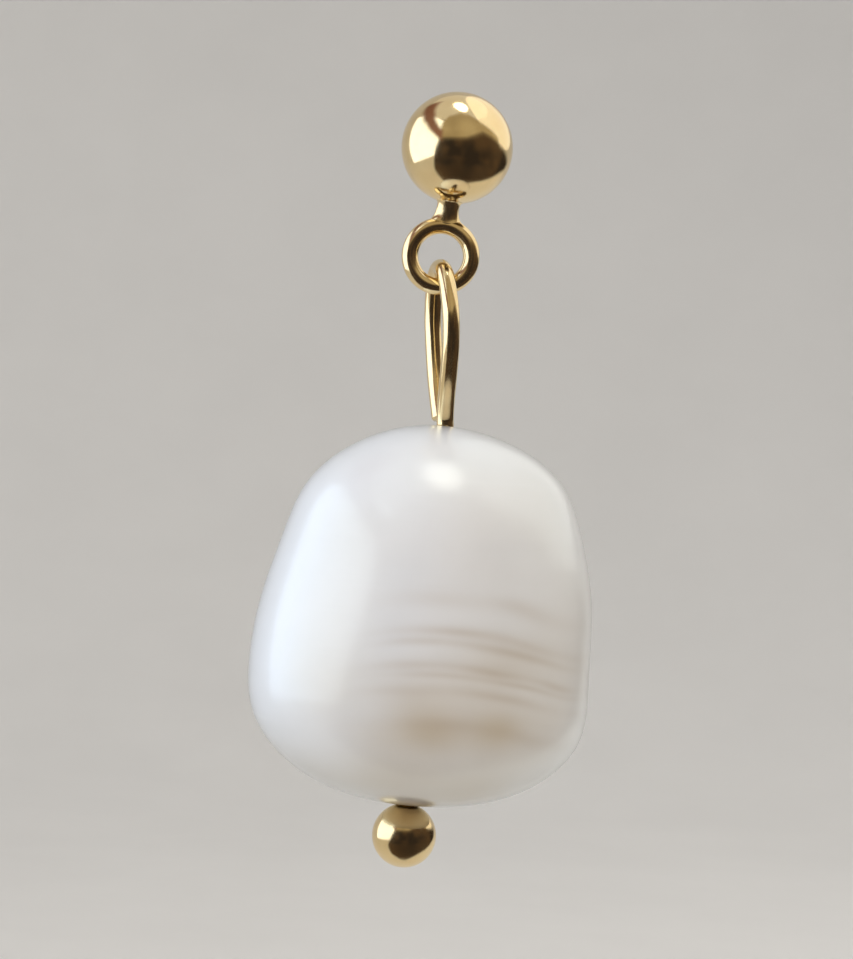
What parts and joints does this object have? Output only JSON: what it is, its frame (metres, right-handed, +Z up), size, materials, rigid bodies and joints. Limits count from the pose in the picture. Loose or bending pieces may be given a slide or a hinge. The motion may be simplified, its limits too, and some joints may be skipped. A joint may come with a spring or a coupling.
{
  "type": "pearl drop earring",
  "caption": "Gold ball stud with a soldered ring, from which a baroque pearl swings on a ball-ended pin whose top is bent into a long loop.",
  "frame": {"origin": "where the post meets the back of the ball, on the post's axis: the earlobe's front face lies here when worn", "axes": "+Y along the post, through the lobe and away from the viewer; +Z up; +X to the viewer's right"},
  "size_m": [0.0123, 0.0177, 0.0278],
  "materials": {
    "gold": "polished",
    "pearl": "satin"
  },
  "bodies": {
    "stud": {"stud": "gold"},
    "pin": {"pin": "gold"},
    "pearl": {"pearl": "pearl"}
  },
  "joints": [
    {"name": "drop_swing", "type": "hinge", "parent": "stud", "child": "pin", "pos_m": [-0.00035, -0.002, -0.00536], "axis": [0.9697, 0.2334, 0.0721], "range_deg": [-100, 70]},
    {"name": "pearl_turn", "type": "hinge", "parent": "pin", "child": "pearl", "pos_m": [-0.00001, -0.002, -0.00997], "axis": [0.0584, 0, 0.9983], "continuous": true}
  ]
}
